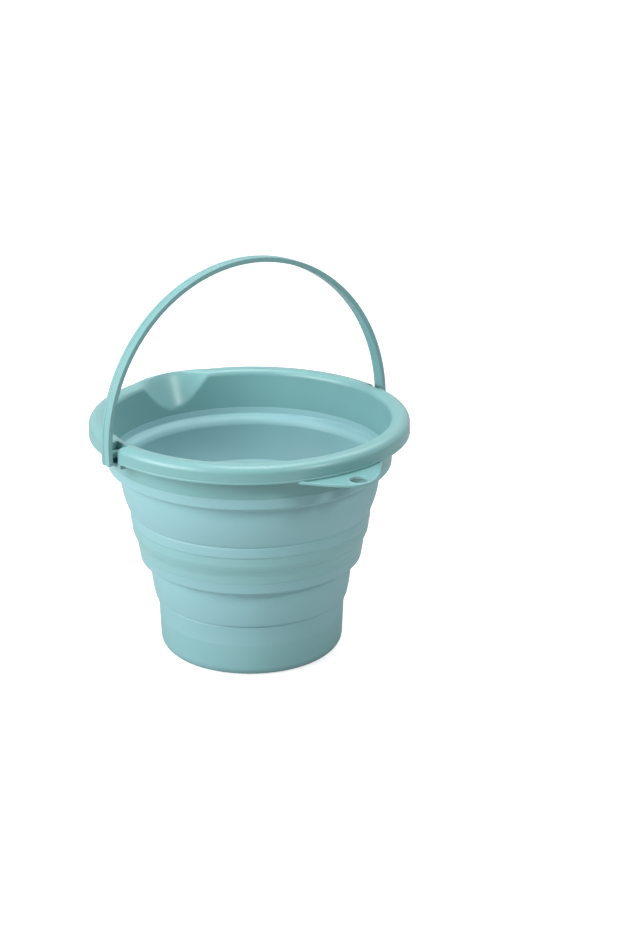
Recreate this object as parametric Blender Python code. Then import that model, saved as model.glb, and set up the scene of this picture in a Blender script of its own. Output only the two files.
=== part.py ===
"""A collapsible camp bucket: three stiff rings joined by two soft folding bands, with a swinging bail handle.

Metres, +Z up. The origin is on the bucket's axis at the ground. The handle swings about an axis along X,
the hanging tab points to -Y and the pouring spout to +Y.
"""

from math import cos, pi, radians, sin, sqrt

import bmesh
import bpy
from mathutils import Matrix, Vector

# Heights, stacked from the ground up
cup_height = 0.0536
lower_rise = 0.0449
middle_height = 0.0480
upper_rise = 0.0500
rim_height = 0.0470

# Stiff walls, and the soft skins that wrap their edges
wall = 0.0026
skin = 0.0008
gap = 0.0003
hem = 0.0014
band = 0.0020
inner_lap = 0.0105
hanging_lap = 0.0089
middle_lap = 0.0099
cup_lap = 0.0194

# The widest radius, and the steps in from it to each ring, from the top down
collar_radius = 0.1575
lip_width = 0.0159
rim_taper = 0.0014
upper_step = 0.0215
middle_taper = 0.0005
shoulder_step = 0.0050
foot_taper = 0.0023
lower_step = 0.0160
cup_flare = 0.0015
cup_taper = 0.0015

# Corner and knee of the cup, shoulder of the middle ring
cup_corner = 0.0100
cup_knee_drop = 0.0086
shoulder_foot_rise = 0.0048
shoulder_top_drop = 0.0165

# Soft bands between the rings
upper_shelf = 0.0114
lower_shelf = 0.0101
shelf_drop = 0.0025
shelf_corner = 0.0008
upper_overhang = 0.0007
lower_overhang = 0.0019
groove = 0.0010
groove_half_height = 0.0012
band_curve_share = 2.3

# Rolled lip and collar of the rim
collar_depth = 0.0170
collar_wall = 0.0022
crest_inset = 0.0095
crest_half_width = 0.0010
lip_outer_drop = 0.0073
lip_inner_drop = 0.0085
bead = 0.0004
bead_height = 0.0020

# Pouring spout, a pocket shaped like a slice of a cone
spout_margin = 0.0002
spout_top_radius = 0.0496
spout_flare = 0.0170
spout_depth = 0.0335
spout_wall = 0.0020

# Hanging tab
tab_inset = 0.0075
tab_reach = 0.0395
tab_half_width = 0.0490
tab_fullness_share = 0.55
tab_thickness = 0.0026
tab_overlap = 0.0005
tab_hole_radius = 0.00875
tab_hole_from_tip = 0.0120

# Notches in the collar, with the blocks that carry the handle
notch_tab_side = 0.0100
notch_spout_side = 0.0042
flare_width = 0.0065
flare_drop = 0.0050
seat_inset = 0.0090
seat_thickness = 0.0025
block_tab_side = 0.0040
block_spout_side = 0.0022
block_inset = 0.0014
floor_drop = 0.0020
floor_thickness = 0.0030
pivot_drop = 0.0105

# Handle
strap_gap = 0.0025
strap_thickness = 0.0050
strap_foot_width = 0.0138
strap_apex_width = 0.0112
strap_edge = 0.0010
strap_foot_drop = 0.0100
strap_foot_corner = 0.0025
channel_width = 0.0064
channel_depth = 0.0010
channel_slope = 0.0006
stud_radius = 0.0028
stud_head_radius = 0.0036
stud_head_length = 0.0020
boss_radius = 0.0036
bail_lean = radians(2.36)

# Cutters run past what they cut by this much
overrun = 0.0040

# Roundness. The spout's count is even but not a multiple of four, so that its points and the rim's don't
# lie in one plane, where the cut would leave slivers.
ring_segments = 60
small_segments = 24
spout_segments = 50
lip_steps = 4
band_steps = 6
shoulder_steps = 5
corner_steps = 3
strap_steps = 36

# Places that follow from the sizes above
middle_bottom = cup_height + lower_rise
middle_top = middle_bottom + middle_height
rim_bottom = middle_top + upper_rise
rim_top = rim_bottom + rim_height
cup_knee_height = cup_height - cup_knee_drop
shoulder_foot = middle_bottom + hanging_lap + gap + shoulder_foot_rise
shoulder_top = middle_top - shoulder_top_drop
collar_bottom = rim_top - collar_depth
pivot_height = rim_top - pivot_drop
proud_skin = skin + gap

# Outer radii of the rings
rim_top_radius = collar_radius - lip_width
rim_bottom_radius = rim_top_radius - rim_taper
middle_top_radius = rim_bottom_radius - upper_step
shoulder_top_radius = middle_top_radius - middle_taper
shoulder_foot_radius = shoulder_top_radius - shoulder_step
middle_bottom_radius = shoulder_foot_radius - foot_taper
cup_top_radius = middle_bottom_radius - lower_step
cup_knee_radius = cup_top_radius - cup_flare
cup_side_radius = cup_knee_radius - cup_taper

# Places round the rim
crest_radius = collar_radius - crest_inset
spout_axis = collar_radius - collar_wall - spout_margin - spout_top_radius
tab_top = collar_bottom + tab_overlap
tab_base = collar_radius - tab_inset
tab_tip = tab_base + tab_reach
seat_face = collar_radius - seat_inset
notch_floor = collar_bottom - floor_drop
strap_inner_radius = collar_radius + strap_gap
strap_middle_radius = strap_inner_radius + strap_thickness / 2


def clear_scene():
    for obj in list(bpy.data.objects):
        bpy.data.objects.remove(obj)


def linear_colour(hex_code):
    """The linear colour of an sRGB hex code."""
    colour = []
    for start in (0, 2, 4):
        value = int(hex_code[start : start + 2], 16) / 255
        colour.append(value / 12.92 if value <= 0.04045 else ((value + 0.055) / 1.055) ** 2.4)
    return (*colour, 1)


def plastic(name, hex_code, roughness):
    material = bpy.data.materials.new(name)
    material.use_nodes = True
    shader = material.node_tree.nodes["Principled BSDF"]
    shader.inputs["Base Color"].default_value = linear_colour(hex_code)
    shader.inputs["Roughness"].default_value = roughness
    shader.inputs["Metallic"].default_value = 0
    material.diffuse_color = linear_colour(hex_code)
    return material


def line(z, low, high):
    """The radius at height z on the straight line between two (radius, height) points."""
    return low[0] + (high[0] - low[0]) * (z - low[1]) / (high[1] - low[1])


def ease(share):
    return share * share * (3 - 2 * share)


def arc(centre, radius, start, end, steps=corner_steps):
    """Points on a circle in the section plane, from one angle in degrees to another."""
    points = []
    for step in range(steps + 1):
        angle = radians(start + (end - start) * step / steps)
        points.append((centre[0] + radius * cos(angle), centre[1] + radius * sin(angle)))
    return points


def cup_face(z):
    """Outer radius of the cup's side at height z, above its rounded corner."""
    knee = (cup_knee_radius, cup_knee_height)
    if z < cup_knee_height:
        return line(z, (cup_side_radius, cup_corner), knee)
    return line(z, knee, (cup_top_radius, cup_height))


def middle_face(z):
    """Outer radius of the middle ring at height z: straight, an S-shaped shoulder, straight."""
    if z <= shoulder_foot:
        return line(z, (middle_bottom_radius, middle_bottom), (shoulder_foot_radius, shoulder_foot))
    if z >= shoulder_top:
        return line(z, (shoulder_top_radius, shoulder_top), (middle_top_radius, middle_top))
    rise = ease((z - shoulder_foot) / (shoulder_top - shoulder_foot))
    return shoulder_foot_radius + (shoulder_top_radius - shoulder_foot_radius) * rise


def rim_face(z):
    """Outer radius of the rim's wall at height z."""
    return line(z, (rim_bottom_radius, rim_bottom), (rim_top_radius, rim_top))


def cup_outline():
    """Half section of the cup, from the middle of its underside out, up, over and back in."""
    side = (cup_face(cup_corner) - cup_corner, cup_corner)
    lap = cup_height - cup_lap - gap
    points = [(0, 0)]
    points += arc(side, cup_corner, -90, 0)
    points.append((cup_face(lap), lap))
    for z in (lap, cup_knee_height, cup_height):
        points.append((cup_face(z) - proud_skin, z))
    for z in (cup_height, cup_knee_height):
        points.append((cup_face(z) - wall, z))
    points += arc(side, cup_corner - wall, 0, -90)
    points.append((0, wall))
    return points


def middle_outline():
    """Half section of the middle ring, a closed loop."""
    lap = middle_bottom + hanging_lap + gap
    shoulder = []
    for step in range(shoulder_steps + 1):
        shoulder.append(shoulder_foot + (shoulder_top - shoulder_foot) * step / shoulder_steps)
    points = [(middle_face(z) - proud_skin, z) for z in (middle_bottom, lap)]
    points += [(middle_face(z), z) for z in (lap, *shoulder, middle_top)]
    points += [(middle_face(z) - wall, z) for z in (middle_top, *reversed(shoulder), middle_bottom)]
    return points


def lip_arch(depth, skirt_depth):
    """The arch of the lip from the wall over the crest to the skirt, moved inwards by a depth.

    Two quarters of an ellipse meet at the flat crest. skirt_depth is how far in the arch ends at the skirt.
    """
    foot = rim_top - lip_inner_drop
    inner = (crest_radius - crest_half_width, foot)
    outer = (crest_radius + crest_half_width, rim_top - lip_outer_drop)
    across = inner[0] - (rim_face(foot) - wall + depth)
    out = collar_radius - skirt_depth - outer[0]
    points = []
    for step in range(lip_steps + 1):
        angle = pi - pi / 2 * step / lip_steps
        points.append((inner[0] + across * cos(angle), inner[1] + (lip_inner_drop - depth) * sin(angle)))
    for step in range(lip_steps + 1):
        angle = pi / 2 - pi / 2 * step / lip_steps
        points.append((outer[0] + out * cos(angle), outer[1] + (lip_outer_drop - depth) * sin(angle)))
    return points


def rim_outline():
    """Half section of the rim: its wall, the rolled lip and the skirt of the collar, a closed loop."""
    lap = rim_bottom + hanging_lap + gap
    points = [(rim_face(rim_bottom) - wall, rim_bottom)]
    points += lip_arch(0, 0)
    points.append((collar_radius, collar_bottom + bead_height))
    points.append((collar_radius + bead, collar_bottom + bead_height - bead))
    points.append((collar_radius + bead, collar_bottom))
    points.append((collar_radius - collar_wall, collar_bottom))
    points += reversed(lip_arch(wall, collar_wall))
    points.append((rim_face(lap), lap))
    points += [(rim_face(z) - proud_skin, z) for z in (lap, rim_bottom)]
    return points


def core_outline():
    """Half section of the space from the middle of the rim's wall to the middle of the skirt, under the lip.

    What is added behind the collar is kept inside it, so that it ends in the middle of these walls.
    """
    low = rim_top - spout_depth - overrun
    arch = lip_arch(wall / 2, collar_wall / 2)
    return [(rim_face(low) - wall / 2, low), *arch, (arch[-1][0], low)]


def fold_outline(above, above_edge, below, below_edge, proud, lap_heights, shelf, overhang):
    """Half section of a soft band, a closed loop.

    It wraps the bottom edge of the wall above, runs in on a shelf, drops as a curved band to a groove where
    it hinges, and wraps the top edge of the wall below. above and below give those walls' outer radii.
    """
    inner = wall + gap
    outer_free = above_edge + hanging_lap
    inner_free = above_edge + inner_lap
    hem_bottom = above_edge - gap - hem
    cap_top = below_edge + gap + hem
    inner_end = below_edge - inner_lap

    band_top_radius = above(above_edge) - shelf
    band_top = hem_bottom - shelf_drop - shelf_corner
    band_foot = cap_top + groove_half_height
    drop = band_top_radius - (below(below_edge) + proud + overhang)

    def band_radius(z):
        fall = (band_top - z) / (band_top - band_foot)
        return band_top_radius - drop * max(fall, 0) ** band_curve_share

    # Down the outside, from the free edge on the wall above to the one on the wall below
    points = [(above(outer_free), outer_free), (above(above_edge), above_edge)]
    points.append((above(above_edge) - hem / 2, hem_bottom))
    points.append((band_top_radius + shelf_corner, hem_bottom - shelf_drop))
    for step in range(band_steps + 1):
        z = band_top + (band_foot - band_top) * step / band_steps
        points.append((band_radius(z), z))
    points.append((below(below_edge) + proud - groove, cap_top))
    points.append((below(below_edge) + proud, cap_top - groove_half_height))
    points += [(below(z) + proud, z) for z in lap_heights]

    # Up inside the wrap, over the edge of the wall below and down its inner side
    points += [(below(z) + proud - skin, z) for z in reversed(lap_heights)]
    points.append((below(below_edge) + proud - skin, below_edge + gap))
    points.append((below(below_edge) - inner, below_edge + gap))
    points.append((below(inner_end) - inner, inner_end))
    points.append((below(inner_end) - inner - skin, inner_end))

    # Up the inside of the band to the shelf and the wrap on the wall above
    cap_centre = (below(below_edge) - inner - skin + hem, cap_top)
    points += arc(cap_centre, hem, 180, 90)
    inner_foot = cap_top + 2 * hem
    inner_top = hem_bottom - shelf_drop
    for step in range(band_steps + 1):
        z = inner_foot + (inner_top - inner_foot) * step / band_steps
        points.append((band_radius(z) - band, z))
    points.append((band_top_radius - band / 2, inner_top + band))
    points.append((above(above_edge) - inner - skin, hem_bottom + band))
    points.append((above(inner_free) - inner - skin, inner_free))
    points.append((above(inner_free) - inner, inner_free))
    points.append((above(above_edge) - inner, above_edge - gap))
    points.append((above(above_edge) - skin, above_edge - gap))
    points.append((above(outer_free) - skin, outer_free))
    return points


def new_object(name, bm, origin=(0, 0, 0)):
    """Makes an object of the mesh, with its origin at the given point and its faces turned outwards."""
    bmesh.ops.recalc_face_normals(bm, faces=bm.faces)
    bmesh.ops.translate(bm, verts=bm.verts, vec=-Vector(origin))
    mesh = bpy.data.meshes.new(name)
    bm.to_mesh(mesh)
    bm.free()
    obj = bpy.data.objects.new(name, mesh)
    obj.location = origin
    bpy.context.scene.collection.objects.link(obj)
    return obj


def turn(bm, points, closed=True, axis=(0, 0, 1), segments=ring_segments, at=(0, 0, 0)):
    """Spins (radius, height) points a full turn about an axis through a point: a closed loop, or a line
    whose ends lie on the axis."""
    along = Vector(axis)
    outwards = Vector((1, 0, 0)) if along.z else Vector((0, 0, 1))
    made = [bm.verts.new(Vector(at) + outwards * r + along * z) for r, z in points]
    edges = [bm.edges.new(pair) for pair in zip(made[:-1], made[1:])]
    if closed:
        edges.append(bm.edges.new((made[-1], made[0])))
    bmesh.ops.spin(
        bm, geom=made + edges, cent=at, axis=axis, dvec=(0, 0, 0), angle=2 * pi,
        space=Matrix.Identity(4), steps=segments, use_merge=True, use_normal_flip=False, use_duplicate=False,
    )
    bmesh.ops.remove_doubles(bm, verts=bm.verts, dist=gap / 1000)


def prism(bm, outline, depth):
    """A closed outline of 3-D points, filled and pushed along a vector."""
    face = bm.faces.new([bm.verts.new(point) for point in outline])
    pushed = bmesh.ops.extrude_face_region(bm, geom=[face], use_keep_orig=True)
    moved = [item for item in pushed["geom"] if isinstance(item, bmesh.types.BMVert)]
    bmesh.ops.translate(bm, verts=moved, vec=depth)


def finish(obj, material, parent=None):
    """Gives a piece its material and smooth shading, and hangs it on the piece that carries it."""
    obj.data.materials.append(material)
    obj.data.shade_smooth()
    obj.data.set_sharp_from_angle(angle=radians(32))
    if parent:
        obj.parent = parent
        obj.matrix_parent_inverse = parent.matrix_basis.inverted()
    return obj


def helper(obj):
    """Marks an object that only shapes another."""
    obj.hide_render = True
    obj.display_type = "WIRE"
    return obj


def combine(obj, other, operation):
    modifier = obj.modifiers.new(f"{operation.lower()}_{other.name}", "BOOLEAN")
    modifier.operation = operation
    modifier.solver = "EXACT"
    modifier.object = other


def turned_piece(name, outline, origin_height, closed=True):
    bm = bmesh.new()
    turn(bm, outline, closed)
    return new_object(name, bm, (0, 0, origin_height))


def box(bm, low, high):
    """A box between two corners."""
    outline = [(low[0], low[1], low[2]), (high[0], low[1], low[2])]
    outline += [(high[0], high[1], low[2]), (low[0], high[1], low[2])]
    prism(bm, outline, (0, 0, high[2] - low[2]))


def keep_in_core(obj):
    """Cuts away what an added shape has outside the space behind the collar."""
    bm = bmesh.new()
    turn(bm, core_outline())
    combine(obj, helper(new_object(f"core_of_{obj.name}", bm)), "INTERSECT")
    return obj


def spout_cone(extra):
    """The cone of the spout as (radius, height) points, moved outwards by extra."""
    slope = spout_flare / spout_depth
    return lambda z: spout_top_radius + extra + slope * (z - rim_top)


def spout_pocket():
    """The hollow of the spout, a cutter."""
    radius = spout_cone(0)
    low, high = rim_top - spout_depth - overrun, rim_top + overrun
    bm = bmesh.new()
    outline = [(0, low), (radius(low), low), (radius(high), high), (0, high)]
    turn(bm, outline, closed=False, segments=spout_segments, at=(0, spout_axis, 0))
    return helper(new_object("spout_pocket", bm))


def spout_shell():
    """The wall round the spout's hollow, from the middle of the rim's wall outwards."""
    radius = spout_cone(spout_wall)
    low, high = rim_top - spout_depth, rim_top
    bm = bmesh.new()
    outline = [(0, low), (radius(low), low), (radius(high), high), (0, high)]
    turn(bm, outline, closed=False, segments=spout_segments, at=(0, spout_axis, 0))
    return keep_in_core(helper(new_object("spout_shell", bm)))


def hanging_tab():
    """A broad bell-shaped plate that runs in under the collar to the rim's wall."""
    outline = []
    for step in range(-small_segments // 2, small_segments // 2 + 1):
        share = 2 * step / small_segments
        reach = tab_base + tab_reach * ((1 + cos(pi * share)) / 2) ** tab_fullness_share
        outline.append((tab_half_width * share, -reach, tab_top))
    root = rim_face(tab_top) - wall / 2
    for step in range(corner_steps, -corner_steps - 1, -1):
        x = tab_half_width * step / corner_steps
        outline.append((x, -sqrt(root**2 - x**2), tab_top))
    bm = bmesh.new()
    prism(bm, outline, (0, 0, -tab_thickness))
    return helper(new_object("hanging_tab", bm))


def tab_hole():
    bm = bmesh.new()
    low, high = tab_top - tab_thickness - overrun, tab_top + overrun
    outline = [(0, low), (tab_hole_radius, low), (tab_hole_radius, high), (0, high)]
    turn(bm, outline, closed=False, segments=small_segments, at=(0, -(tab_tip - tab_hole_from_tip), 0))
    return helper(new_object("tab_hole", bm))


def pivot_blocks():
    """Behind each notch, a block whose hollow the notch later cuts, leaving a plate, two walls and a floor."""
    bm = bmesh.new()
    inner, outer = seat_face - seat_thickness, collar_radius - block_inset
    front, back = -notch_tab_side - block_tab_side, notch_spout_side + block_spout_side
    low, high = notch_floor - floor_thickness, rim_top
    box(bm, (inner, front, low), (outer, back, high))
    box(bm, (-outer, front, low), (-inner, back, high))
    return keep_in_core(helper(new_object("pivot_blocks", bm)))


def notches():
    """On each side, a cut through the collar down to the plate, with a rounded corner on the tab's side."""
    high = rim_top + overrun
    outline = [(notch_spout_side, notch_floor), (notch_spout_side, high)]
    outline.append((-notch_tab_side - flare_width, high))
    for step in range(corner_steps, -1, -1):
        angle = pi / 2 * step / corner_steps
        across = flare_width * (1 - cos(angle))
        outline.append((-notch_tab_side - across, rim_top - flare_drop * (1 - sin(angle))))
    outline.append((-notch_tab_side, notch_floor))
    depth = collar_radius + overrun - seat_face
    bm = bmesh.new()
    for side in (1, -1):
        prism(bm, [(side * seat_face, y, z) for y, z in outline], (side * depth, 0, 0))
    return helper(new_object("notches", bm))


def stud_holes():
    bm = bmesh.new()
    radius = stud_radius + gap
    inner, outer = seat_face - seat_thickness - gap, seat_face + gap
    outline = [(0, inner), (radius, inner), (radius, outer), (0, outer)]
    for side in (1, -1):
        turn(bm, outline, False, (side, 0, 0), small_segments, (0, 0, pivot_height))
    return helper(new_object("stud_holes", bm))


def make_rim():
    rim = turned_piece("rim", rim_outline(), rim_bottom)
    for added in (pivot_blocks(), spout_shell(), hanging_tab()):
        combine(rim, added, "UNION")
    for cutter in (notches(), spout_pocket(), tab_hole(), stud_holes()):
        combine(rim, cutter, "DIFFERENCE")
    return rim


def strap_section(half_width):
    """Cross-section of the strap as (outwards, across) points, with a channel along its outer face."""
    inner, outer = -strap_thickness / 2, strap_thickness / 2
    lip = channel_width / 2
    half = [(inner, half_width - strap_edge), (inner + strap_edge, half_width)]
    half += [(outer - strap_edge, half_width), (outer, half_width - strap_edge)]
    half += [(outer, lip), (outer - channel_depth, lip - channel_slope)]
    return half + [(out, -across) for out, across in reversed(half)]


def strap_stations():
    """Along the strap, from foot to foot: (centre, outward direction, half width) in the handle's plane."""
    foot = strap_foot_width / 2
    leg = []
    for step in range(corner_steps + 1):
        angle = pi / 2 * step / corner_steps
        height = strap_foot_corner * (1 - cos(angle)) - strap_foot_drop
        leg.append((height, foot - strap_foot_corner * (1 - sin(angle))))
    stations = []
    for height, half_width in leg:
        stations.append(((strap_middle_radius, height), (1, 0), half_width))
    for step in range(strap_steps + 1):
        turned = pi * step / strap_steps
        out = (cos(turned), sin(turned))
        near_apex = 1 - abs(1 - 2 * step / strap_steps)
        half_width = foot + (strap_apex_width / 2 - foot) * near_apex
        stations.append(((out[0] * strap_middle_radius, out[1] * strap_middle_radius), out, half_width))
    for height, half_width in reversed(leg):
        stations.append(((-strap_middle_radius, height), (-1, 0), half_width))
    return stations


def handle_studs():
    """A boss on each foot, a neck through the plate behind the notch and a snap head beyond it."""
    root = strap_inner_radius + strap_thickness / 2
    neck_end = seat_face - seat_thickness - gap
    head_end = neck_end - stud_head_length
    outline = [(0, root), (boss_radius, root), (boss_radius, seat_face + gap), (stud_radius, seat_face + gap)]
    outline += [(stud_radius, neck_end), (stud_head_radius, neck_end)]
    outline += [(stud_radius, head_end), (0, head_end)]
    bm = bmesh.new()
    for side in (1, -1):
        turn(bm, outline, False, (side, 0, 0), small_segments)
    return bm


def make_handle():
    """The bail, built upright about its pivot axis and then leant towards the spout."""
    bm = bmesh.new()
    loops = []
    for centre, out, half_width in strap_stations():
        loop = []
        for outwards, across in strap_section(half_width):
            x, z = centre[0] + out[0] * outwards, centre[1] + out[1] * outwards
            loop.append(bm.verts.new((x, across, z)))
        loops.append(loop)
    for before, after in zip(loops[:-1], loops[1:]):
        edges = []
        for loop in (before, after):
            for first, second in zip(loop, loop[1:] + loop[:1]):
                edges.append(bm.edges.get((first, second)) or bm.edges.new((first, second)))
        bmesh.ops.bridge_loops(bm, edges=edges)
    for loop in (loops[0], loops[-1]):
        bm.faces.new(loop)
    handle = new_object("handle", bm)
    studs = helper(new_object("handle_studs", handle_studs()))
    for obj in (handle, studs):
        obj.location = (0, 0, pivot_height)
        obj.rotation_euler.x = -bail_lean
    combine(handle, studs, "UNION")
    return handle


def make_lower_fold():
    laps = [cup_knee_height, cup_height - cup_lap]
    outline = fold_outline(
        middle_face, middle_bottom, cup_face, cup_height, 0, laps, lower_shelf, lower_overhang
    )
    return turned_piece("lower_fold", outline, cup_height)


def make_upper_fold():
    laps = [middle_top - middle_lap]
    outline = fold_outline(
        rim_face, rim_bottom, middle_face, middle_top, proud_skin, laps, upper_shelf, upper_overhang
    )
    return turned_piece("upper_fold", outline, middle_top)


def build_bucket():
    clear_scene()
    base_cup = turned_piece("base_cup", cup_outline(), 0, closed=False)
    lower_fold = make_lower_fold()
    middle_ring = turned_piece("middle_ring", middle_outline(), middle_bottom)
    upper_fold = make_upper_fold()
    rim = make_rim()
    handle = make_handle()

    finish(base_cup, plastic("cup_polypropylene", "8FB9BC", 0.38))
    finish(lower_fold, plastic("lower_band_rubber", "92BFC8", 0.55), base_cup)
    finish(middle_ring, plastic("middle_ring_polypropylene", "93BDC0", 0.38), base_cup)
    finish(upper_fold, plastic("upper_band_rubber", "92BFC8", 0.55), middle_ring)
    finish(rim, plastic("rim_polypropylene", "8DB9BB", 0.35), middle_ring)
    finish(handle, plastic("handle_polypropylene", "83B0B2", 0.35), rim)


build_bucket()
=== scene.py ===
# %% [markdown]
# # A collapsible camp bucket
#
# This bucket is a two-material moulding. Three stiff polypropylene rings stack up like a telescope: the cup
# with the floor, a middle ring and the rim. Two soft rubber bands are moulded between them, and they turn
# inside out when the bucket is pushed flat. A bail handle snaps into the rim with a stud on each foot.
#
# Everything is in metres and +Z is up. The handle swings about an axis along X, the hanging tab points to -Y
# and the pouring spout to +Y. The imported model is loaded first, because it says where each piece sits and
# which body it moves with. Every piece below then replaces the plain solid of the same name.

from math import atan2, cos, degrees, hypot, pi, radians, sin, sqrt

import bmesh
import bpy
from mathutils import Matrix, Vector


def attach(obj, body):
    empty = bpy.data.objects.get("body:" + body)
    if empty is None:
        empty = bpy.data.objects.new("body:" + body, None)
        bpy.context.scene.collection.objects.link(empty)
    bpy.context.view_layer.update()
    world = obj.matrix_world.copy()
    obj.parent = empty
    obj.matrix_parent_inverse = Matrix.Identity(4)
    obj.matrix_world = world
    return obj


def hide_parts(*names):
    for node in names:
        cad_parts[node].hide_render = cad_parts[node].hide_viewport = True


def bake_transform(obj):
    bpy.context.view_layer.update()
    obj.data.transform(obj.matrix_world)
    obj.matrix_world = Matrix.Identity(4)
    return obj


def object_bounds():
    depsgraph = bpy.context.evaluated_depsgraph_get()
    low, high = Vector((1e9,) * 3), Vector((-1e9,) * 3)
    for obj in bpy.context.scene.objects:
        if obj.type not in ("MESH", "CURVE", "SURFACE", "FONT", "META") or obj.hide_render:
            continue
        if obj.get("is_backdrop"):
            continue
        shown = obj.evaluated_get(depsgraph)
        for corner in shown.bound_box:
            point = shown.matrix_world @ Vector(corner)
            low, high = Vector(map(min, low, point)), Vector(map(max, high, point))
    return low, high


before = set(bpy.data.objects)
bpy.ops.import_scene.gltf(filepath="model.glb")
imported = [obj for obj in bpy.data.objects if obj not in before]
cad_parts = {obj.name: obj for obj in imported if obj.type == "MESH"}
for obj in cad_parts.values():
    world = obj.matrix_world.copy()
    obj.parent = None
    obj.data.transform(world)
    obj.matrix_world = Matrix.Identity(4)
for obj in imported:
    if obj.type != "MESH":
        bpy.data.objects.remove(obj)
bpy.context.view_layer.update()
cad_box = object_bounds()
mm = 0.001
print("box of the solids in mm:", [[round(v / mm, 1) for v in corner] for corner in cad_box])

# %% [markdown]
# ## Turning a section
#
# Rings, cups and bands are solids of revolution: the mould for them is turned on a lathe. The natural way to
# model one is to draw half of its section and spin it about the axis. A drawn section has sharp corners, and
# a moulded part never has, so each corner is given with the radius of its rounding. A vertex bevel on the
# flat section rounds it before it is spun, which is far cheaper than a bevel on the finished ring.

# %% Draw a section with rounded corners
ring_steps = 240


def draw_section(bm, corners, arc_steps=5):
    """One face in the plane of X and Z, from (radius, height, rounding) corners in millimetres."""
    made = [bm.verts.new((r * mm, 0, z * mm)) for r, z, _ in corners]
    bm.faces.new(made)
    for size in sorted({rounding for _, _, rounding in corners if rounding}):
        chosen = [vert for vert, corner in zip(made, corners) if corner[2] == size]
        bmesh.ops.bevel(
            bm, geom=chosen, affect="VERTICES", offset=size * mm, offset_type="OFFSET",
            segments=arc_steps, profile=0.5, material=-1, clamp_overlap=True,
        )


# %% Spin a section
def spin_edges(bm, geom, turn, steps):
    """Spins wire edges about the axis of the bucket by a turn in degrees and returns the last copy of them."""
    done = bmesh.ops.spin(
        bm, geom=geom, cent=(0, 0, 0), axis=(0, 0, 1), dvec=(0, 0, 0), angle=radians(turn), space=Matrix.Identity(4),
        steps=steps, use_merge=False, use_normal_flip=False, use_duplicate=False,
    )
    return done["geom_last"]


def open_section(bm):
    """Takes the section's face away, and its edge on the axis, so that its outline is left to spin."""
    bmesh.ops.delete(bm, geom=bm.faces[:], context="FACES_ONLY")
    inner = [edge for edge in bm.edges if max(abs(vert.co.x) for vert in edge.verts) < 0.01 * mm]
    bmesh.ops.delete(bm, geom=inner, context="EDGES")
    return bm.verts[:] + bm.edges[:]


def close_turn(bm):
    """Joins the last copy to the first, closes the pole and turns all faces outwards."""
    bmesh.ops.remove_doubles(bm, verts=bm.verts, dist=0.002 * mm)
    bmesh.ops.recalc_face_normals(bm, faces=bm.faces)


def turned(corners, steps=ring_steps, arc_steps=5):
    """A closed solid of revolution from the corners of its section."""
    bm = bmesh.new()
    draw_section(bm, corners, arc_steps)
    spin_edges(bm, open_section(bm), 360, steps)
    close_turn(bm)
    return bm


# %% [markdown]
# ## Putting a piece in place
#
# A finished piece keeps its place in its mesh, so its object sits at the origin. It is smooth shaded except
# where faces meet at a real edge. The Weighted Normal modifier lets the large faces decide the shading, so
# a flat wall stays flat right up to its small roundings.

# %% Make an object of a mesh
sharp_angle = 32


def shade_evenly(obj):
    """Smooth shading that stops at real edges."""
    obj.data.shade_smooth()
    obj.data.set_sharp_from_angle(angle=radians(sharp_angle))
    weighted = obj.modifiers.new("even_shading", "WEIGHTED_NORMAL")
    weighted.keep_sharp = True


def as_piece(name, bm, finish):
    mesh = bpy.data.meshes.new(name)
    bm.to_mesh(mesh)
    bm.free()
    obj = bpy.data.objects.new(f"{name}_look", mesh)
    bpy.context.scene.collection.objects.link(obj)
    mesh.materials.append(finish)
    shade_evenly(obj)
    return obj


def stand_for(obj, node, body):
    """The piece takes the place of a solid and moves with a body, when one is given."""
    if body:
        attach(obj, body)
    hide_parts(node)
    print(f"{node}: {len(obj.data.polygons)} faces")


# %% [markdown]
# ## The plastics
#
# The stiff rings and the handle are polypropylene, moulded in a cavity with a fine spark-eroded grain. That
# gives a satin face: broad soft highlights, and a faint unevenness where the melt flowed. The bands are
# thermoplastic rubber, the soft plastic of kitchen grips. It is matt, because its skin is slightly tacky and
# scatters light. A flat colour would look like paint, so noise on Object coordinates varies the colour
# and the roughness a little, and a fine bump draws the grain.

# %% A helper that adds a node, and one for colours
def linear(hex_code):
    """The linear colour of an sRGB hex code."""
    values = [int(hex_code[start : start + 2], 16) / 255 for start in (0, 2, 4)]
    return (*[v / 12.92 if v <= 0.04045 else ((v + 0.055) / 1.055) ** 2.4 for v in values], 1)


def add_node(tree, kind, inputs=None, **settings):
    """Adds a node with its settings, and sets or links each input by name or number."""
    made = tree.nodes.new(kind)
    for name, value in settings.items():
        setattr(made, name, value)
    for name, value in (inputs or {}).items():
        if isinstance(value, bpy.types.NodeSocket):
            tree.links.new(value, made.inputs[name])
        else:
            made.inputs[name].default_value = value
    return made


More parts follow.
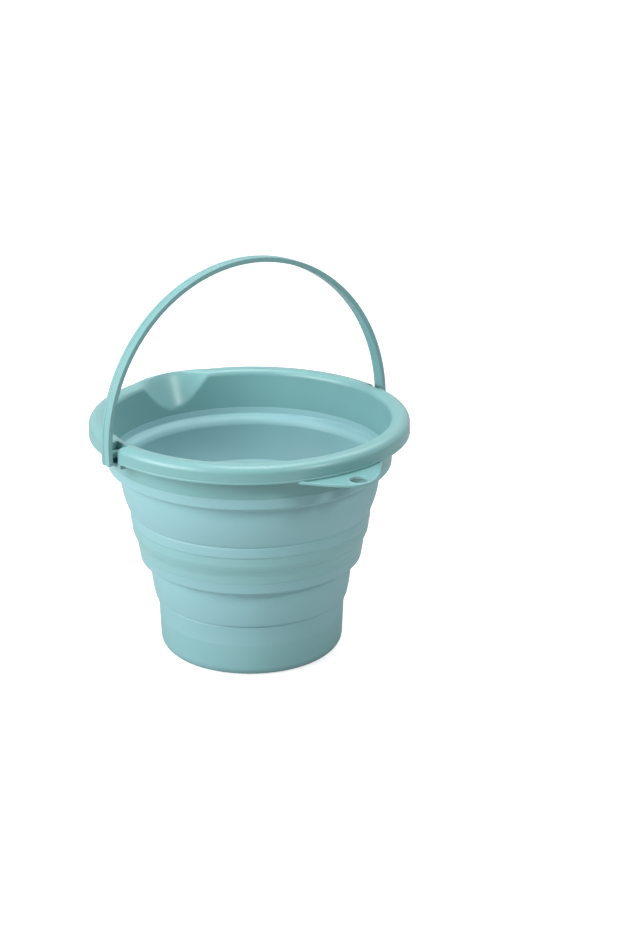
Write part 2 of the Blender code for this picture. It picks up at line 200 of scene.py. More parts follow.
# %% Moulded plastic
def moulded(name, colour, flow_colour, roughness, grain_mm, grain_depth_mm, ior, sheen=0.0):
    """Moulded plastic: two near colours in slow flow clouds, uneven satin, and a fine grain."""
    material = bpy.data.materials.new(name)
    material.use_nodes = True
    tree = material.node_tree
    shader = tree.nodes["Principled BSDF"]
    shader.inputs["IOR"].default_value = ior
    shader.inputs["Sheen Weight"].default_value = sheen
    shader.inputs["Sheen Roughness"].default_value = 0.5
    place = add_node(tree, "ShaderNodeTexCoord").outputs["Object"]

    # Clouds about 45 mm across, where the melt cooled a little faster or slower
    clouds = add_node(
        tree, "ShaderNodeTexNoise", {"Vector": place, "Scale": 1 / (45 * mm), "Detail": 3, "Roughness": 0.55}
    )
    tint = add_node(
        tree, "ShaderNodeMix", {0: clouds.outputs["Fac"], 6: linear(colour), 7: linear(flow_colour)},
        data_type="RGBA",
    )
    tree.links.new(tint.outputs[2], shader.inputs["Base Color"])

    # Patches about 9 mm across, where the grain of the mould is worn a little smoother
    patches = add_node(
        tree, "ShaderNodeTexNoise", {"Vector": place, "Scale": 1 / (9 * mm), "Detail": 4, "Roughness": 0.6}
    )
    satin = add_node(
        tree, "ShaderNodeMapRange",
        {"Value": patches.outputs["Fac"], "To Min": roughness - 0.05, "To Max": roughness + 0.05},
    )
    tree.links.new(satin.outputs["Result"], shader.inputs["Roughness"])

    # The real grain is about 0.1 mm, too fine to show, so it is drawn coarser
    grain = add_node(
        tree, "ShaderNodeTexNoise", {"Vector": place, "Scale": 1 / (grain_mm * mm), "Detail": 2}
    )
    bump = add_node(
        tree, "ShaderNodeBump",
        {"Height": grain.outputs["Fac"], "Distance": grain_depth_mm * mm, "Strength": 1.0},
    )
    tree.links.new(bump.outputs["Normal"], shader.inputs["Normal"])
    return material


# %% Mix the five plastics
# Polypropylene, moulded in a cavity with a fine grain: satin, IOR 1.49
cup_polypropylene = moulded("moulded_polypropylene_cup", "7FAEB2", "85B3B6", 0.40, 0.9, 0.012, 1.49)
ring_polypropylene = moulded("moulded_polypropylene_ring", "7FAEB1", "85B3B5", 0.40, 0.9, 0.012, 1.49)
rim_polypropylene = moulded("moulded_polypropylene_rim", "73A3A5", "78A8A9", 0.34, 0.9, 0.008, 1.49)
handle_polypropylene = moulded("moulded_polypropylene_handle", "75A4A6", "7BA9AA", 0.36, 0.9, 0.008, 1.49)

# Thermoplastic rubber, moulded against a blasted cavity: matt with a faint sheen, IOR 1.50
band_rubber = moulded("moulded_thermoplastic_rubber", "82B0B6", "88B5BA", 0.52, 0.7, 0.015, 1.50, sheen=0.08)
plastics = (cup_polypropylene, ring_polypropylene, rim_polypropylene, handle_polypropylene, band_rubber)
print("plastics:", [plastic.name for plastic in plastics])

# %% [markdown]
# ## The sizes of the rings
#
# The same radii and heights as in the solids, in millimetres, so that every piece of the look lies where its
# solid lies. Each wall is a function of the height, because its neighbours follow it at a fixed distance.

# %% Sizes and walls
cup_top, middle_bottom, middle_top, rim_bottom, rim_top = 53.6, 98.5, 146.5, 196.5, 243.5
cup_knee, shoulder_foot, shoulder_head = 45.0, 112.5, 130.0
wall, skin, gap, hem, band = 2.6, 0.8, 0.3, 1.4, 2.0
proud_skin = skin + gap

# How far a band laps over the outside of the ring above it, of the cup and of the middle ring
ring_lap, cup_lap, middle_lap = 8.9, 19.4, 9.9
lap_gap, lap_flash = 0.03, 0.12


def line(z, low, high):
    """The radius at height z on the straight line between two (radius, height) points."""
    return low[0] + (high[0] - low[0]) * (z - low[1]) / (high[1] - low[1])


def cup_face(z):
    knee = (93.4, cup_knee)
    return line(z, (91.9, 10.0), knee) if z < cup_knee else line(z, knee, (94.9, cup_top))


def middle_face(z):
    if z <= shoulder_foot:
        return line(z, (110.9, middle_bottom), (113.2, shoulder_foot))
    if z >= shoulder_head:
        return line(z, (118.2, shoulder_head), (118.7, middle_top))
    share = (z - shoulder_foot) / (shoulder_head - shoulder_foot)
    return 113.2 + 5.0 * share * share * (3 - 2 * share)


def rim_face(z):
    return line(z, (140.2, rim_bottom), (141.6, rim_top))


def spread(first, last, steps):
    """Evenly spaced values from the first to the last."""
    return [first + (last - first) * step / steps for step in range(steps + 1)]


print("outer radius of the wall at the floor and at the lip:", round(cup_face(0), 1), rim_face(rim_top))

# %% [markdown]
# ## The base cup
#
# The cup is the lowest ring and carries the floor. Its wall is drawn up from a 10 mm corner, with the slight
# draft that lets it leave the mould. From a lap line on, the wall is set back so that the soft band lies
# flush with it. The underside keeps its flat face, with the small dimple that the sprue of the mould
# leaves in the middle. A spun section makes all of this at once.

# %% Turn the cup
lap = cup_top - cup_lap - lap_gap
cup_section = [
    (0, 0.35, 0), (3.5, 0.35, 0.3), (4.2, 0, 0.2),
    (cup_face(0), 0, 10.0),
    (cup_face(lap), lap, 0.1), (cup_face(lap) - proud_skin, lap, 0.2),
    (cup_face(cup_knee) - proud_skin, cup_knee, 0), (cup_face(cup_top) - proud_skin, cup_top, 0.3),
    (cup_face(cup_top) - wall, cup_top, 0.3), (cup_face(cup_knee) - wall, cup_knee, 0),
    (cup_face(wall) - wall, wall, 7.4),
    (0, wall, 0),
]
base_cup = as_piece("base_cup", turned(cup_section), cup_polypropylene)
stand_for(base_cup, "base_cup", "cup")

# %% [markdown]
# ## The middle ring
#
# The middle ring steps out in a soft S-shaped shoulder halfway up. The shoulder stiffens the thin wall and
# lets the ring slide down outside the cup. Its section is sampled finely enough that the curve shows no
# facets. Halfway up the shoulder the two halves of the mould meet, which leaves a fine line round the ring.

# %% Turn the middle ring
lap = middle_bottom + ring_lap + lap_gap
shoulder = spread(shoulder_foot, shoulder_head, 16)
parting = [(middle_face(z) + depth, z, 0) for z, depth in ((121.5, 0), (121.7, -0.25), (122.0, -0.2), (122.2, 0.1))]
ring_section = [(middle_face(middle_bottom) - proud_skin, middle_bottom, 0.3)]
ring_section += [(middle_face(lap) - proud_skin, lap, 0.2), (middle_face(lap), lap, 0.1)]
ring_section += [(middle_face(z), z, 0) for z in shoulder if z < 121.5]
ring_section += parting
ring_section += [(middle_face(z), z, 0) for z in shoulder if z > 122.5]
ring_section += [(middle_face(middle_top), middle_top, 0.3), (middle_face(middle_top) - wall, middle_top, 0.3)]
ring_section += [(middle_face(z) - wall, z, 0) for z in reversed(shoulder)]
ring_section += [(middle_face(middle_bottom) - wall, middle_bottom, 0.3)]
middle_ring = as_piece("middle_ring", turned(ring_section), ring_polypropylene)
stand_for(middle_ring, "middle_ring", "middle")

# %% [markdown]
# ## The soft bands
#
# Each band is one soft moulding. It wraps the bottom edge of the ring above, runs in on a small shelf and
# falls as a curved skirt that gets steeper towards its foot. There it pinches into a groove, the line
# where it hinges, and then wraps the top edge of the ring below. When the ring above sinks, the skirt rolls
# inside out between the two. Both bands have this section at their own radii, so one function draws them.

# %% Draw the section of a band
wrap_up, wrap_down = 6.5, 10.5
shelf_drop, groove_rise, skirt_power = 3.3, 1.2, 2.3


def band_section(above, above_edge, below, below_edge, proud, lap_heights, shelf, overhang):
    """Corners of the band between two rings, each given by its outer wall and the edge that faces the band.

    The band stands proud of the ring below by a step, laps it down to the last of the lap heights, has a
    shelf of that width under the ring above, and hangs over its own groove by the overhang."""
    inner = wall + gap
    outer_free, inner_free = above_edge + ring_lap, above_edge + wrap_up
    hem_bottom, cap_top = above_edge - gap - hem, below_edge + gap + hem
    inner_end = below_edge - wrap_down
    skirt_radius = above(above_edge) - shelf
    skirt_top, skirt_foot = hem_bottom - shelf_drop, cap_top + groove_rise
    drop = skirt_radius - (below(below_edge) + proud + overhang)

    def skirt(z):
        return skirt_radius - drop * max((skirt_top - z) / (skirt_top - skirt_foot), 0) ** skirt_power

    # Down the outside, from the free edge on the ring above to the free edge on the ring below
    end = lap_heights[-1]
    corners = [
        (above(outer_free) + lap_flash, outer_free, 0.15), (above(outer_free - 0.7), outer_free - 0.7, 0),
        (above(above_edge), above_edge, 0), (above(above_edge) - 0.2, hem_bottom, 1.0),
        (skirt_radius + 0.3, hem_bottom - 2.4, 4.0),
    ]
    corners += [(skirt(z), z, 0) for z in spread(hem_bottom - 6.8, skirt_foot, 18)[:-1]]
    corners += [
        (skirt(skirt_foot), skirt_foot, 0.4),
        (below(below_edge) + proud - 0.8, cap_top, 0.5), (below(below_edge) + proud, cap_top - 1.6, 0.7),
    ]
    corners += [(below(z) + proud, z, 0) for z in lap_heights[:-1]]
    corners += [(below(end + 1.5) + proud, end + 1.5, 0.6), (below(end) + 0.25 * proud + lap_flash, end, 0.1)]

    # Up inside the wrap, over the edge of the ring below and down its inner side
    if proud:
        corners += [(below(end) + 0.02, end, 0), (below(end + 1.5) + proud - skin, end + 1.5, 0)]
    else:
        corners += [(below(end) - skin, end, 0)]
    corners += [(below(z) + proud - skin, z, 0) for z in reversed(lap_heights[:-1])]
    corners += [
        (below(below_edge) + proud - skin, below_edge + gap, 0), (below(below_edge) - inner, below_edge + gap, 0),
        (below(inner_end) - inner, inner_end, 0), (below(inner_end) - inner - skin, inner_end, 0.3),
        (below(below_edge) - inner - skin, cap_top + hem - 1.2, 1.0),
    ]

    # Up the inside of the skirt to the shelf and the wrap on the ring above
    corners += [(skirt(z) - band, z, 0) for z in spread(cap_top + 2 * hem, hem_bottom - 8.2, 18)]
    corners += [
        (skirt_radius - band, hem_bottom - 0.8, 6.5), (above(above_edge) - inner - skin, hem_bottom + 1.1, 1.6),
        (above(inner_free - 3.5) - inner - skin, inner_free - 3.5, 0),
        (above(inner_free) - inner - 0.3, inner_free, 0.1), (above(inner_free) - inner, inner_free, 0),
        (above(above_edge) - inner, above_edge - gap, 0), (above(above_edge) - skin, above_edge - gap, 0),
        (above(outer_free) - skin, outer_free, 0),
    ]
    return corners


# %% Turn the two bands
lower_section = band_section(
    middle_face, middle_bottom, cup_face, cup_top, 0, [cup_knee, cup_top - cup_lap], 10.1, 1.9
)
lower_fold = as_piece("lower_fold", turned(lower_section, arc_steps=3), band_rubber)
stand_for(lower_fold, "lower_fold", None)
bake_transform(lower_fold)

upper_section = band_section(
    rim_face, rim_bottom, middle_face, middle_top, proud_skin, [middle_top - middle_lap], 11.4, 0.7
)
upper_fold = as_piece("upper_fold", turned(upper_section, arc_steps=3), band_rubber)
stand_for(upper_fold, "upper_fold", None)
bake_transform(upper_fold)
print("corners of the two sections:", len(lower_section), len(upper_section))

# %% [markdown]
# ## The rim
#
# The rim is the stiff top ring. Its wall rolls over into a rounded lip, which is kind to the hands, and comes
# down again as the skirt of a collar. Inside, the roll is a quarter of a superellipse, fuller than an ellipse,
# and outside it is a quarter of an ellipse. The same two, moved in by the wall, draw the underside. The
# section is spun in two goes: fine steps where the spout will be pressed out, coarser ones for the rest.

# %% Draw the roll of the lip
collar, skirt_inside, crest = 157.5, 155.3, 148.0
collar_bottom = rim_top - 17.0
lip_inner_drop, lip_outer_drop, lip_fullness = 7.5, 7.3, 0.82


def lip_arch(depth, skirt_depth, steps=14):
    """(radius, height) points from the wall over the crest to the skirt, moved inwards by a depth."""
    foot = rim_top - lip_inner_drop
    inner, outer = (crest - 1.0, foot), (crest + 1.0, rim_top - lip_outer_drop)
    across = inner[0] - (rim_face(foot) - wall + depth)
    out = collar - skirt_depth - outer[0]
    angles = spread(0, pi / 2, steps)
    rise, fall = lip_inner_drop - depth, lip_outer_drop - depth
    rising = [
        (inner[0] - across * max(cos(a), 0) ** lip_fullness, foot + rise * sin(a) ** lip_fullness) for a in angles
    ]
    falling = [(outer[0] + out * cos(a), outer[1] + fall * sin(a)) for a in reversed(angles)]
    return rising + falling


print("height of the lip:", max(z for _, z in lip_arch(0, 0)), "mm")

# %% Spin the rim
spout_half_angle, spout_spin_steps, rest_spin_steps = 32, 128, 222
lap = rim_bottom + ring_lap + lap_gap
rim_section = [(rim_face(rim_bottom) - wall, rim_bottom, 0)]
rim_section += [(r, z, 0) for r, z in lip_arch(0, 0)]
rim_section += [
    (collar, collar_bottom + 2.0, 0.2), (collar + 0.4, collar_bottom + 1.6, 0.2),
    (collar + 0.4, collar_bottom, 0.3), (skirt_inside, collar_bottom, 0.3),
]
rim_section += [(r, z, 0) for r, z in reversed(lip_arch(wall, collar - skirt_inside))]
rim_section += [
    (rim_face(lap), lap, 0.1), (rim_face(lap) - proud_skin, lap, 0.2),
    (rim_face(rim_bottom) - proud_skin, rim_bottom, 0),
]
rim_mesh = bmesh.new()
draw_section(rim_mesh, rim_section)
open_section(rim_mesh)
walls = [edge for edge in rim_mesh.edges if edge.calc_length() > 25 * mm]
bmesh.ops.subdivide_edges(rim_mesh, edges=walls, cuts=32)
bmesh.ops.rotate(
    rim_mesh, verts=rim_mesh.verts, cent=(0, 0, 0), matrix=Matrix.Rotation(radians(90 - spout_half_angle), 3, "Z")
)
last = spin_edges(rim_mesh, rim_mesh.verts[:] + rim_mesh.edges[:], 2 * spout_half_angle, spout_spin_steps)
spin_edges(rim_mesh, last, 360 - 2 * spout_half_angle, rest_spin_steps)
close_turn(rim_mesh)
print("rim:", len(walls), "walls cut,", len(rim_mesh.verts), "points")

# %% [markdown]
# ## Pressing out the spout
#
# The spout is a pocket in the wall, a slice of a cone that widens upwards, so that water leaves in one
# stream. A Boolean cut would give it a knife edge. Here the points of the wall are moved outwards to the
# cone instead, and where cone and wall meet, a smooth maximum blends the two over a millimetre or so,
# as the fillet of the real mould does. The lip above is squeezed towards the skirt, which stays round.

# %% The cone and its fillet
spout_axis, spout_top_radius, spout_slope = 105.5, 49.6, 17.0 / 33.5
spout_blend = 1.6


def smooth_max(a, b, width):
    """The larger of two numbers, blended where they differ by less than the width."""
    share = max(width - abs(a - b), 0) / width
    return max(a, b) + share * share * width / 4


def cone_reach(side, z):
    """How far from the bucket's axis the cone lies, in the direction whose sine from +Y is side."""
    radius = spout_top_radius + spout_slope * (z - rim_top)
    inside = radius**2 - (spout_axis * side) ** 2
    return spout_axis * sqrt(1 - side**2) + sqrt(inside) if inside > 0 else 0


underside = lip_arch(wall, collar - skirt_inside)


def under_lip(reach, z):
    """Whether a point is on the inner side of the moulding, under the lip and behind the skirt."""
    if z < collar_bottom + 6:
        return reach > rim_face(z) - 0.05
    return any(abs(reach - r) < 0.02 and abs(z - h) < 0.02 for r, h in underside)


# %% Move the points of the wall to the cone
moved = 0
for vert in rim_mesh.verts:
    x, y, z = vert.co.x / mm, vert.co.y / mm, vert.co.z / mm
    reach = hypot(x, y)
    if y < 0 or z < 200 or reach > skirt_inside - 0.1 and z < collar_bottom + 7:
        continue
    start = rim_face(z) - wall
    target = smooth_max(start, cone_reach(x / reach, z), spout_blend)
    depth = reach - start
    if under_lip(reach, z):
        fresh = max(reach, min(target + 1.9, skirt_inside - 0.02))
    else:
        fresh = target + depth * (collar - target) / (collar - start)
    if fresh > reach + 0.001:
        vert.co.x *= fresh / reach
        vert.co.y *= fresh / reach
        moved += 1
print("points moved for the spout:", moved)

# %% [markdown]
# ## The hanging tab
#
# Below the collar a broad bell-shaped tab reaches out, with a hole for a hook. Its outline is a raised
# cosine to a power below one, which fills out its flanks and rounds its tip. An inset of the top face, pushed
# down a little, leaves the raised border that stiffens it, and a small ring round the hole does the same there.

# %% Draw the tab's outline
tab_top, tab_thickness = 227.0, 2.6
tab_half_width, tab_base, tab_reach, tab_fullness = 49.0, 150.0, 39.5, 0.55


def tab_outline(steps=64):
    """(x, y) points round the tab, along its free edge and back inside the rim's wall."""
    outline = []
    for step in range(-steps, steps + 1):
        share = step / steps
        # The two corners are tucked in under the skirt, which they would otherwise touch
        tuck = 0.99 if abs(step) == steps else 1
        reach = tab_base + tab_reach * ((1 + cos(pi * share)) / 2) ** tab_fullness
        outline.append((tab_half_width * share * tuck, -reach * tuck))
    root = rim_face(tab_top) - wall / 2
    for step in range(8, -9, -1):
        x = tab_half_width * step / 8
        outline.append((x, -sqrt(root**2 - x**2)))
    return outline


print("tab:", 2 * tab_half_width, "mm wide, tip at", tab_base + tab_reach, "mm from the axis")

# %% Raise its border and round its edges
tab_border, tab_border_slope, tab_dish = 1.9, 0.5, 0.7


def tab_plate():
    bm = bmesh.new()
    low = tab_top - tab_thickness
    face = bm.faces.new([bm.verts.new((x * mm, y * mm, low * mm)) for x, y in tab_outline()])
    raised = bmesh.ops.extrude_face_region(bm, geom=[face], use_keep_orig=True)["geom"]
    top = [item for item in raised if isinstance(item, bmesh.types.BMFace)]
    bmesh.ops.translate(
        bm, verts=[item for item in raised if isinstance(item, bmesh.types.BMVert)], vec=(0, 0, tab_thickness * mm)
    )
    bmesh.ops.inset_region(bm, faces=top, thickness=tab_border * mm, use_even_offset=True, use_boundary=True)
    bmesh.ops.inset_region(
        bm, faces=top, thickness=tab_border_slope * mm, depth=-tab_dish * mm, use_even_offset=True, use_boundary=True
    )
    bmesh.ops.recalc_face_normals(bm, faces=bm.faces)
    for height, rounding in ((tab_top, 0.9), (low, 0.3)):
        rounded = [
            edge for edge in bm.edges
            if all(abs(vert.co.z - height * mm) < 0.01 * mm for vert in edge.verts)
            and len(edge.link_faces) == 2 and edge.calc_face_angle() > radians(60)
        ]
        bmesh.ops.bevel(
            bm, geom=rounded, affect="EDGES", offset=rounding * mm, offset_type="OFFSET", segments=4,
            profile=0.5, material=-1, clamp_overlap=True,
        )
    return bm


# %% The ring round the hole
hole_radius, hole_centre = 8.75, 177.5


def hole_ring():
    """The rounded ring round the tab's hole."""
    bm = bmesh.new()
    low = tab_top - tab_thickness
    draw_section(bm, [
        (hole_radius, low, 0.3), (hole_radius + 2.2, low, 0.1), (hole_radius + 2.2, tab_top - tab_dish, 0.1),
        (hole_radius + 1.6, tab_top, 0.5), (hole_radius, tab_top, 0.5),
    ], 4)
    spin_edges(bm, open_section(bm), 360, 64)
    close_turn(bm)
    bmesh.ops.translate(bm, verts=bm.verts, vec=(0, -hole_centre * mm, 0))
    return bm


print("hole:", 2 * hole_radius, "mm wide, centre at", hole_centre, "mm from the axis")

# %% [markdown]
# ## Cuts and additions with Booleans
#
# The tab and the blocks behind the notches grow out of the ring at an angle to its faces, and the notches,
# the stud holes and the tab's hole cut through it. That is what the Boolean modifier is for. Each helper
# is a plain object that is removed once the modifiers are applied.

# %% Helpers for the Booleans
def helper(name, bm):
    bmesh.ops.recalc_face_normals(bm, faces=bm.faces)
    mesh = bpy.data.meshes.new(name)
    bm.to_mesh(mesh)
    bm.free()
    obj = bpy.data.objects.new(name, mesh)
    bpy.context.scene.collection.objects.link(obj)
    return obj


def block(bm, low, high):
    """A box between two corners given in millimetres."""
    made = bmesh.ops.create_cube(bm, size=1)["verts"]
    size = [(high[i] - low[i]) * mm for i in range(3)]
    middle = [(high[i] + low[i]) / 2 * mm for i in range(3)]
    bmesh.ops.scale(bm, verts=made, vec=size)
    bmesh.ops.translate(bm, verts=made, vec=middle)
    return made


def drum(bm, radius, depth, segments):
    """An upright short cylinder about the origin, in millimetres."""
    return bmesh.ops.create_cone(
        bm, cap_ends=True, cap_tris=False, segments=segments, radius1=radius * mm, radius2=radius * mm,
        depth=depth * mm,
    )["verts"]


def apply_booleans(obj, steps):
    """Applies (operation, helper) steps to an object and removes the helpers."""
    for operation, other in steps:
        modifier = obj.modifiers.new(other.name, "BOOLEAN")
        modifier.operation, modifier.solver, modifier.object = operation, "MANIFOLD", other
    shape = bpy.data.meshes.new_from_object(obj.evaluated_get(bpy.context.evaluated_depsgraph_get()))
    obj.modifiers.clear()
    obj.data = shape
    for _, other in steps:
        bpy.data.objects.remove(other)


# %% [markdown]
# ## Notches and pivot plates
#
# The handle's feet sit in two notches of the collar. Behind each notch is a block, and the notch cuts a hollow
# into it that leaves a plate for the stud, two side walls and a floor. On the tab's side the notch is wider and
# flares at the lip, so that the thumb can push the stud in. The blocks are kept inside the space under the
# lip with an intersection, so nothing shows through the lip.

# %% The blocks behind the notches
tab_side, spout_side, flare_width, flare_drop = 10.0, 4.2, 6.5, 5.0
seat_face, seat_thickness, pivot_height = 148.5, 2.5, 233.0
notch_floor = collar_bottom - 2.0
tab_side_wall, spout_side_wall, block_inset, block_floor = 4.0, 2.2, 1.4, 3.0


def pivot_blocks():
    bm = bmesh.new()
    inner, outer = seat_face - seat_thickness, collar - block_inset
    near, far = -tab_side - tab_side_wall, spout_side + spout_side_wall
    low, high = notch_floor - block_floor, rim_top
    block(bm, (inner, near, low), (outer, far, high))
    block(bm, (-outer, near, low), (-inner, far, high))
    return bm


def under_lip_core():
    """The ring-shaped space from the middle of the wall to the middle of the skirt."""
    low = rim_top - 37.5
    arch = lip_arch(wall / 2, (collar - skirt_inside) / 2)
    return turned([(rim_face(low) - wall / 2, low, 0), *[(r, z, 0) for r, z in arch], (arch[-1][0], low, 0)])


# %% The notches
def notch_cutters():
    """Prisms whose upper corner on the tab's side flares outwards in a quarter of an ellipse."""
    bm = bmesh.new()
    high = rim_top + 4
    outline = [(spout_side, notch_floor), (spout_side, high), (-tab_side - flare_width, high)]
    for step in range(10, -1, -1):
        angle = pi / 2 * step / 10
        across = flare_width * (1 - cos(angle))
        outline.append((-tab_side - across, rim_top - flare_drop * (1 - sin(angle))))
    outline.append((-tab_side, notch_floor))
    for side in (1, -1):
        face = bm.faces.new([bm.verts.new((side * seat_face * mm, y * mm, z * mm)) for y, z in outline])
        pushed = bmesh.ops.extrude_face_region(bm, geom=[face], use_keep_orig=True)["geom"]
        far = [item for item in pushed if isinstance(item, bmesh.types.BMVert)]
        bmesh.ops.translate(bm, verts=far, vec=(side * 13 * mm, 0, 0))
    return bm


print("notches:", tab_side + spout_side, "mm wide, floor at", notch_floor, "mm")

# %% The holes
stud_hole_radius = 3.1


def hole_cutters():
    """Two holes for the studs."""
    bm = bmesh.new()
    for side in (1, -1):
        made = drum(bm, stud_hole_radius, 3.2, 48)
        bmesh.ops.rotate(bm, verts=made, cent=(0, 0, 0), matrix=Matrix.Rotation(pi / 2, 3, "Y"))
        middle = (seat_face - seat_thickness / 2) * side * mm
        bmesh.ops.translate(bm, verts=made, vec=(middle, 0, pivot_height * mm))
    return bm


def tab_hole_cutter():
    bm = bmesh.new()
    made = drum(bm, hole_radius + 1.1, 10, 64)
    bmesh.ops.translate(bm, verts=made, vec=(0, -hole_centre * mm, tab_top * mm))
    return bm


# %% Put the rim together
tab = helper("tab", tab_plate())
apply_booleans(tab, [
    ("DIFFERENCE", helper("tab_hole", tab_hole_cutter())),
    ("UNION", helper("tab_ring", hole_ring())),
])
blocks = helper("pivot_blocks", pivot_blocks())
apply_booleans(blocks, [("INTERSECT", helper("under_lip_core", under_lip_core()))])
rim = as_piece("rim", rim_mesh, rim_polypropylene)
apply_booleans(rim, [
    ("UNION", blocks),
    ("UNION", tab),
    ("DIFFERENCE", helper("notch_cutters", notch_cutters())),
    ("DIFFERENCE", helper("hole_cutters", hole_cutters())),
])
shade_evenly(rim)
stand_for(rim, "rim", "top")

# %% [markdown]
# ## The handle
#
# The bail is a flat strap bent in half a circle, with a channel along its outer face that saves material and
# stiffens it. It is a little wider at its feet. The section of the strap is drawn once with rounded edges
# and spun half a turn about the pivot axis. Then its two ends are pushed down for the feet, and a stud is
# turned for each.

# %% Spin the strap
strap_inner, strap_thickness = 160.0, 5.0
foot_half, apex_half = 6.9, 5.6
handle_mesh = bmesh.new()
inner, outer = strap_inner, strap_inner + strap_thickness
half_section = [
    (inner, foot_half, 1.0), (outer, foot_half, 0.9), (outer, 3.5, 0.35), (outer - 1.0, 2.6, 0.5),
]
strap_corners = half_section + [(r, -across, rounding) for r, across, rounding in reversed(half_section)]
draw_section(handle_mesh, strap_corners, 4)
bmesh.ops.rotate(
    handle_mesh, verts=handle_mesh.verts, cent=(0, 0, 0), matrix=Matrix.Rotation(pi / 2, 3, "X")
)
section_face = handle_mesh.faces[:]
swept = bmesh.ops.spin(
    handle_mesh, geom=section_face, cent=(0, 0, 0), axis=(0, 1, 0), dvec=(0, 0, 0), angle=-pi,
    space=Matrix.Identity(4), steps=180, use_merge=False, use_normal_flip=False, use_duplicate=False,
)
far_face = [item for item in swept["geom_last"] if isinstance(item, bmesh.types.BMFace)]
for vert in handle_mesh.verts:
    share = abs(degrees(atan2(vert.co.z, vert.co.x)) - 90) / 90
    vert.co.y *= (apex_half + (foot_half - apex_half) * min(share, 1)) / foot_half
print("strap:", len(handle_mesh.verts), "points")
print("ends:", len(section_face), len(far_face))

# %% Push the feet down and round their corners
foot_drop, foot_round, foot_steps = 7.5, 2.5, 4
for ends in (section_face, far_face):
    for step in range(foot_steps + 1):
        grown = bmesh.ops.extrude_face_region(handle_mesh, geom=ends, use_keep_orig=False)["geom"]
        # The faces that were pushed stay behind inside the strap, where a Boolean can't have them
        bmesh.ops.delete(handle_mesh, geom=ends, context="FACES_ONLY")
        verts = [item for item in grown if isinstance(item, bmesh.types.BMVert)]
        ends = [item for item in grown if isinstance(item, bmesh.types.BMFace)]
        if step == 0:
            bmesh.ops.translate(handle_mesh, verts=verts, vec=(0, 0, -foot_drop * mm))
        else:
            before, after = pi / 2 * (step - 1) / foot_steps, pi / 2 * step / foot_steps
            fall = foot_round * (sin(after) - sin(before))
            narrow = (foot_half - foot_round * (1 - cos(after))) / (foot_half - foot_round * (1 - cos(before)))
            bmesh.ops.translate(handle_mesh, verts=verts, vec=(0, 0, -fall * mm))
            for vert in verts:
                vert.co.y *= narrow
bmesh.ops.remove_doubles(handle_mesh, verts=handle_mesh.verts, dist=0.002 * mm)
bmesh.ops.recalc_face_normals(handle_mesh, faces=handle_mesh.faces)
print("strap with its feet:", len(handle_mesh.verts), "points")

# %% Turn the studs
stud_radius, stud_neck, stud_head = 3.6, 2.8, 2.0


def studs():
    """Each stud has a shoulder on the seat, a neck through the plate and a head that snaps in behind it."""
    bm = bmesh.new()
    root, shoulder_face = strap_inner + strap_thickness / 2, seat_face + gap
    neck_end = seat_face - seat_thickness - gap
    tip = neck_end - stud_head
    corners = [
        (0, root, 0), (stud_radius, root, 0), (stud_radius, shoulder_face, 0.3), (stud_neck, shoulder_face, 0),
        (stud_neck, neck_end, 0), (stud_radius, neck_end, 0.3), (stud_neck, tip, 0.5), (0, tip, 0),
    ]
    draw_section(bm, corners, 4)
    spin_edges(bm, open_section(bm), 360, 48)
    close_turn(bm)
    bmesh.ops.rotate(bm, verts=bm.verts, cent=(0, 0, 0), matrix=Matrix.Rotation(pi / 2, 3, "Y"))
    twin = bmesh.ops.duplicate(bm, geom=bm.verts[:] + bm.edges[:] + bm.faces[:])["geom"]
    bmesh.ops.rotate(
        bm, verts=[item for item in twin if isinstance(item, bmesh.types.BMVert)], cent=(0, 0, 0),
        matrix=Matrix.Rotation(pi, 3, "Z"),
    )
    return bm


# %% Put the handle together
handle_lean = -2.36
handle = as_piece("handle", handle_mesh, handle_polypropylene)
apply_booleans(handle, [("UNION", helper("studs", studs()))])
lean = Matrix.Translation((0, 0, pivot_height * mm)) @ Matrix.Rotation(radians(handle_lean), 4, "X")
handle.data.transform(lean)
shade_evenly(handle)
stand_for(handle, "handle", "bail")

# %% [markdown]
# ## The studio
#
# A catalogue photograph of such a bucket is taken on a white sweep with large soft lamps. The world is
# white to the camera and to reflections and dimmer as a light, one large soft lamp stands on the left and
# one hangs above. A small lamp right of the camera fills, and draws the streak in the spout; a weak
# one behind lights the far end of the collar. The floor is nearly white and keeps the bucket's faint shadow,
# and further back it glows a little more, as a sweep does where it curves up.

# %% The world
def white_world():
    """White to the camera, nearly white in reflections, and a dim even light for the rest."""
    world = bpy.data.worlds.new("studio")
    bpy.context.scene.world = world
    world.use_nodes = True
    tree = world.node_tree
    tree.nodes.clear()
    rays = add_node(tree, "ShaderNodeLightPath")
    seen_through = add_node(
        tree, "ShaderNodeMath", {0: rays.outputs["Is Camera Ray"], 1: rays.outputs["Is Transmission Ray"]},
        operation="MAXIMUM",
    )
    light, gloss, white = [
        add_node(tree, "ShaderNodeBackground", {"Color": (1, 1, 1, 1), "Strength": strength})
        for strength in (0.13, 0.8, 1.0)
    ]
    shine = add_node(
        tree, "ShaderNodeMixShader",
        {0: rays.outputs["Is Glossy Ray"], 1: light.outputs[0], 2: gloss.outputs[0]},
    )
    seen = add_node(
        tree, "ShaderNodeMixShader", {0: seen_through.outputs[0], 1: shine.outputs[0], 2: white.outputs[0]}
    )
    add_node(tree, "ShaderNodeOutputWorld", {"Surface": seen.outputs[0]})
    return world


print("world:", white_world().name)

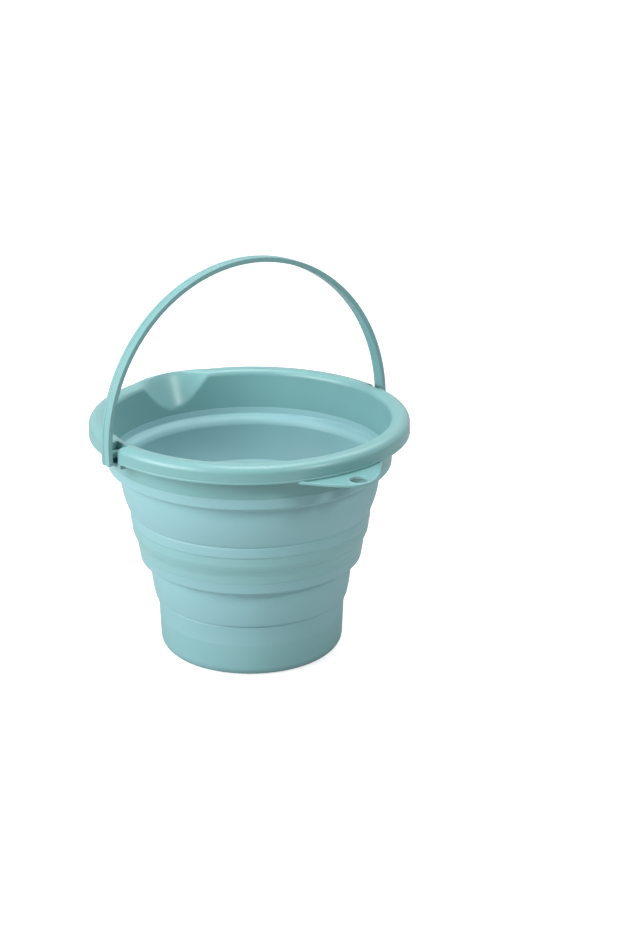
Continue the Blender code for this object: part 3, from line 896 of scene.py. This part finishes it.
# %% The floor
def paper_floor():
    """A matt paper whose shadow stays, with a glow that only the camera sees and that grows with distance."""
    bm = bmesh.new()
    bmesh.ops.create_grid(bm, x_segments=1, y_segments=1, size=6)
    floor = helper("floor", bm)
    paper = bpy.data.materials.new("white_paper_sweep")
    paper.use_nodes = True
    tree = paper.node_tree
    shader = tree.nodes["Principled BSDF"]
    shader.inputs["Base Color"].default_value = linear("C8C8C8")
    shader.inputs["Roughness"].default_value = 0.9
    shader.inputs["Specular IOR Level"].default_value = 0.0
    place = add_node(tree, "ShaderNodeTexCoord").outputs["Object"]
    away = add_node(tree, "ShaderNodeVectorMath", {0: place}, operation="LENGTH").outputs["Value"]
    sweep = add_node(
        tree, "ShaderNodeMapRange",
        {"Value": away, "From Min": 1.5, "From Max": 4.5, "To Min": 0.72, "To Max": 0.96},
    )
    glow = add_node(tree, "ShaderNodeEmission", {"Strength": sweep.outputs["Result"]})
    rays = add_node(tree, "ShaderNodeLightPath")
    nothing = add_node(tree, "ShaderNodeEmission", {"Strength": 0.0})
    lit = add_node(
        tree, "ShaderNodeMixShader",
        {0: rays.outputs["Is Camera Ray"], 1: nothing.outputs[0], 2: glow.outputs[0]},
    )
    both = add_node(tree, "ShaderNodeAddShader", {0: shader.outputs[0], 1: lit.outputs[0]})
    tree.links.new(both.outputs[0], tree.nodes["Material Output"].inputs["Surface"])
    floor.data.materials.append(paper)
    floor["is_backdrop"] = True
    return floor


print("floor:", paper_floor().data.materials[0].name)

# %% The lamps
def lamp(name, place, target, size, watts):
    data = bpy.data.lights.new(name, "AREA")
    data.shape = "RECTANGLE"
    data.size, data.size_y = size
    data.energy = watts
    obj = bpy.data.objects.new(name, data)
    obj.location = place
    obj.rotation_euler = (Vector(target) - Vector(place)).to_track_quat("-Z", "Y").to_euler()
    bpy.context.scene.collection.objects.link(obj)
    return obj


middle = (0, 0, 0.16)
lamp("key_softbox", (-2.16, 0.23, 1.17), middle, (1.8, 1.5), 69)
lamp("top_softbox", (0.15, 0.05, 2.4), middle, (1.2, 1.2), 30)
lamp("small_fill", (0.55, -1.90, 1.55), middle, (0.5, 0.5), 18)
lamp("back_softbox", (1.27, 0.30, 1.8), middle, (1.0, 1.0), 10)

# %% [markdown]
# ## The camera
#
# The photograph's camera was found from the ellipses of the lip, the collar and the fold lines: 1.91 m off
# the axis, 0.89 m up, looking 20 degrees down, with the bucket left of the middle of the frame.

# %% Set up the camera
look_down, look_aside = 20.19, 36.0
camera_data = bpy.data.cameras.new("camera")
camera_data.lens = 79.33
camera_data.sensor_width = 36
camera_data.sensor_fit = "AUTO"
camera = bpy.data.objects.new("camera", camera_data)
camera.location = (-1.074, -1.580, 0.890)
camera.rotation_euler = (radians(90 - look_down), 0, -radians(look_aside))
bpy.context.scene.collection.objects.link(camera)
bpy.context.scene.camera = camera
bpy.context.scene.view_settings.view_transform = "Standard"
print("camera:", camera_data.lens, "mm lens at", [round(v, 3) for v in camera.location])

# %% [markdown]
# ## Sizes of the result
#
# Both boxes, of the solids and of the look, are printed. The look has to stay inside the box of
# the solids.

# %% Print the sizes
bpy.context.view_layer.update()
look_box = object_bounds()
sizes = {"cad": [list(corner) for corner in cad_box], "visual": [list(corner) for corner in look_box]}
for name, box in sizes.items():
    print(name, [[round(v / mm, 1) for v in corner] for corner in box])
